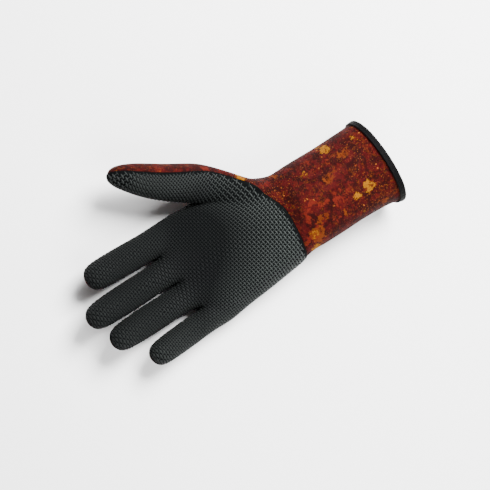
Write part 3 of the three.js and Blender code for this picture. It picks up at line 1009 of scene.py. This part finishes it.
def net_points(mesh, grip, weakest=0.12):
    """An object with a point for every strand of the net, which carries its directions and its strength."""
    place, normals, strength, edges, triangles = net_carrier(mesh, grip.border)
    flat = even_map(place, normals, edges, grip.fineness)
    points = bmesh.new()
    out = points.verts.layers.float_vector.new("out")
    along = points.verts.layers.float_vector.new("along")
    strong = points.verts.layers.float.new("strength")
    for spot, normal, way, much in zip(*crossings(place, normals, strength, triangles, flat, grip)):
        if much > weakest:
            point = points.verts.new(spot)
            point[out] = normal
            point[along] = way
            point[strong] = much
    return object_of("net_points", points)


# Binding

class Mouth:
    """The plane of the sleeve's mouth: its middle, the way out of it, and two directions across it."""

    def __init__(self, mesh):
        points = positions(mesh)
        middle = points.mean(0)
        axes = np.linalg.svd(points - middle, full_matrices=False)[2]
        self.middle = Vector(middle)
        self.out = Vector(axes[2]) * (1.0 if axes[2][0] > 0 else -1.0)
        self.first = Vector(axes[0])
        self.second = self.out.cross(self.first)
        self.fold = float(((points - middle) @ np.array(self.out)).max())

    def seen(self, point):
        """Angle round the mouth, distance from its axis and depth below the folded edge."""
        there = point - self.middle
        across, up = there.dot(self.first), there.dot(self.second)
        return math.atan2(up, across), math.hypot(across, up), self.fold - there.dot(self.out)

    def ray(self, angle, depth):
        """A point of the axis and a direction from it."""
        start = self.middle + self.out * (self.fold - depth)
        return start, self.first * math.cos(angle) + self.second * math.sin(angle)


def creased_tape(least_bend, sharpness=0.5):
    """The CAD's tape in four-cornered faces, with its bent edges kept half sharp under subdivision."""
    shape = merged_copy(BINDING)
    join_pairs(shape, shape.faces)
    crease = shape.edges.layers.float.new("crease_edge")
    for edge in shape.edges:
        if edge.calc_face_angle() > least_bend:
            edge[crease] = sharpness
    return shape


def map_tape(mesh, mouth):
    """A UV map in metres: along the tape, then across it."""
    layer = mesh.uv_layers.get(SHEET_MAP) or mesh.uv_layers.new(name=SHEET_MAP)
    seen = [mouth.seen(v.co) for v in mesh.vertices]
    radius = sum(far for _, far, _ in seen) / len(seen)
    for face in mesh.polygons:
        first = seen[face.vertices[0]][0]
        for loop in face.loop_indices:
            turn, _, depth = seen[mesh.loops[loop].vertex_index]
            turn = first + (turn - first + math.pi) % (2 * math.pi) - math.pi
            layer.uv[loop].vector = (turn * radius, depth)


def pull_in(mesh, mouth, binding, stitches):
    """Pulls the tape in along the stitches, most at their ends, and lets it wander a little."""
    row_width = 0.0009
    normals = [v.normal.copy() for v in mesh.vertices]
    for v, normal in zip(mesh.vertices, normals):
        turn, _, depth = mouth.seen(v.co)
        row = math.exp(-((depth - binding.inset) / row_width) ** 2)
        pucker = 0.75 + 0.25 * math.cos(turn * stitches)
        wander = 0.0003 * noise.noise(v.co * 55.0) + 0.0001 * noise.noise(v.co * 260.0)
        v.co += normal * (wander - binding.groove * row * pucker)
    mesh.update()


def stitch_line(tape, mouth, depth, inside, steps=240, outside=0.1):
    """A closed line on one leg of the tape, at one depth below its folded edge."""
    shape = bmesh.new()
    shape.from_mesh(tape)
    surface = BVHTree.FromBMesh(shape)
    shape.free()
    line = bmesh.new()
    out = line.verts.layers.float_vector.new("out")
    for step in range(steps):
        start, away = mouth.ray(2 * math.pi * step / steps, depth)
        if not inside:
            start, away = start + away * outside, -away
        spot, normal, _, _ = surface.ray_cast(start, away)
        if spot is None:
            raise RuntimeError("The stitches miss the tape")
        point = line.verts.new(spot)
        point[out] = normal
    points = list(line.verts)
    for here, there in zip(points, points[1:] + points[:1]):
        line.edges.new((here, there))
    return object_of("stitch_line", line)


# Operators

def settings():
    return bpy.context.scene.glove_settings


class GLOVE_OT_grip_panel(bpy.types.Operator):
    """Makes the moulded rubber panel of the palm from its CAD node"""

    bl_idname = "glove.grip_panel"
    bl_label = "Grip Panel"

    def execute(self, context):
        sheet, grip = settings().sheet, settings().grip
        look = (grip.rubber, grip.rubber, grip.ground_gloss, grip.ground_roughness)
        finish = rubber_finish("grip_rubber", sheet, *look)
        panel(GRIP, "grip_panel", sheet, finish, sleeve_seam=False)
        return {"FINISHED"}


class GLOVE_OT_grip_net(bpy.types.Operator):
    """Raises the net of strands on the grip panel"""

    bl_idname = "glove.grip_net"
    bl_label = "Grip Net"

    def execute(self, context):
        sheet, grip = settings().sheet, settings().grip
        carried = net_points(bpy.data.objects["grip_panel"].data, grip)
        # The net is pale with wear and painted light at the heel, and dark with painted shade in the hollow.
        look = (grip.rubber, grip.net_rubber, grip.net_gloss, grip.net_roughness)
        finish = rubber_finish("grip_net_rubber", sheet, *look)
        mesh = grown(carried, net_tree(), {
            "Strand length": grip.strand_length,
            "Strand width": grip.strand_width,
            "Strand height": grip.strand_height,
            "Material": finish,
        })
        added_piece("grip_net", mesh)
        return {"FINISHED"}


class GLOVE_OT_cloth_panel(bpy.types.Operator):
    """Makes the printed cloth panel of the back and the sleeve from its CAD node"""

    bl_idname = "glove.cloth_panel"
    bl_label = "Cloth Panel"

    def execute(self, context):
        chosen = settings()
        finish = cloth_finish(chosen.cloth, chosen.sheet)
        panel(CLOTH, "cloth_panel", chosen.sheet, finish, sleeve_seam=True)
        return {"FINISHED"}


class GLOVE_OT_binding(bpy.types.Operator):
    """Makes the folded tape round the mouth from its CAD node"""

    bl_idname = "glove.binding"
    bl_label = "Binding"

    def execute(self, context):
        chosen = settings()
        binding = chosen.binding
        made = object_of("mouth_tape", creased_tape(binding.crease))
        made.data = subdivided(made.data, chosen.sheet.smoothness)
        mouth = Mouth(made.data)
        radii = [mouth.seen(v.co)[1] for v in made.data.vertices]
        around = sum(radii) / len(radii) * 2 * math.pi
        stitches = round(around / (binding.stitch + binding.gap))
        pull_in(made.data, mouth, binding, stitches)
        map_tape(made.data, mouth)
        dressed(made, tape_finish(binding), BINDING)

        weave = stitch_tree()
        finish = thread_finish(binding)
        for name, inside in (("outer_stitches", False), ("inner_stitches", True)):
            line = stitch_line(made.data, mouth, binding.inset, inside)
            mesh = grown(line, weave, {
                "Stitches": stitches,
                "Stitch": binding.stitch,
                "Thread width": binding.thread_width,
                "Material": finish,
            })
            added_piece(name, mesh)
        return {"FINISHED"}


class GLOVE_OT_stage(bpy.types.Operator):
    """Sets the floor, the lights and the photograph's camera"""

    bl_idname = "glove.stage"
    bl_label = "Stage"

    def execute(self, context):
        stage = settings().stage
        finish = Finish("floor")
        floor_finish = finish.finished({"Base Color": (*stage.floor, 1.0), "Roughness": 0.9})
        half_width = 6.0
        shape = bmesh.new()
        bmesh.ops.create_grid(shape, x_segments=1, y_segments=1, size=half_width)
        floor = object_of("floor", shape)
        floor.data.materials.append(floor_finish)

        world = bpy.data.worlds.new("studio")
        world.use_nodes = True
        background = world.node_tree.nodes["Background"]
        background.inputs["Color"].default_value = (1.0, 1.0, 1.0, 1.0)
        background.inputs["Strength"].default_value = stage.surround
        context.scene.world = world

        aim = Vector(stage.aim)
        facing = Matrix.Rotation(-stage.tilt, 4, "Y") @ Matrix.Rotation(-stage.roll, 4, "Z")
        camera = linked("camera", bpy.data.cameras.new("camera"))
        camera.data.sensor_width = SENSOR_WIDTH
        camera.data.lens = stage.lens
        away = facing @ Vector((0.0, 0.0, stage.width * stage.lens / SENSOR_WIDTH))
        camera.matrix_world = Matrix.Translation(aim + away) @ facing
        context.scene.camera = camera

        for name, way, power, size in LIGHTS:
            direction = facing @ Vector(way)
            lamp = bpy.data.lights.new(name, "AREA")
            lamp.energy = stage.light * power
            lamp.size = size
            light = linked(name, lamp)
            light.location = aim + direction.normalized() * stage.distance
            light.rotation_mode = "QUATERNION"
            light.rotation_quaternion = direction.to_track_quat("Z", "Y")
        return {"FINISHED"}


PIECES = (GLOVE_OT_grip_panel, GLOVE_OT_grip_net, GLOVE_OT_cloth_panel, GLOVE_OT_binding, GLOVE_OT_stage)


class GLOVE_PT_workshop(bpy.types.Panel):
    """Lists the steps that make the glove"""

    bl_label = "Diving Glove"
    bl_idname = "GLOVE_PT_workshop"
    bl_space_type = "VIEW_3D"
    bl_region_type = "UI"
    bl_category = "Diving Glove"

    def draw(self, context):
        for piece in PIECES:
            self.layout.operator(piece.bl_idname)
        chosen = settings()
        for kind in chosen.__annotations__:
            group = getattr(chosen, kind)
            box = self.layout.box()
            for name in group.__annotations__:
                box.prop(group, name)


SETTINGS = (SheetSettings, GripSettings, ClothSettings, BindingSettings, StageSettings, GloveSettings)
CLASSES = (*SETTINGS, *PIECES, GLOVE_PT_workshop)


def register():
    for each in CLASSES:
        bpy.utils.register_class(each)
    bpy.types.Scene.glove_settings = bpy.props.PointerProperty(type=GloveSettings)


def unregister():
    del bpy.types.Scene.glove_settings
    for each in reversed(CLASSES):
        bpy.utils.unregister_class(each)


def main():
    register()
    for piece in PIECES:
        group, step = piece.bl_idname.split(".")
        getattr(getattr(bpy.ops, group), step)()


if __name__ == "__main__":
    main()
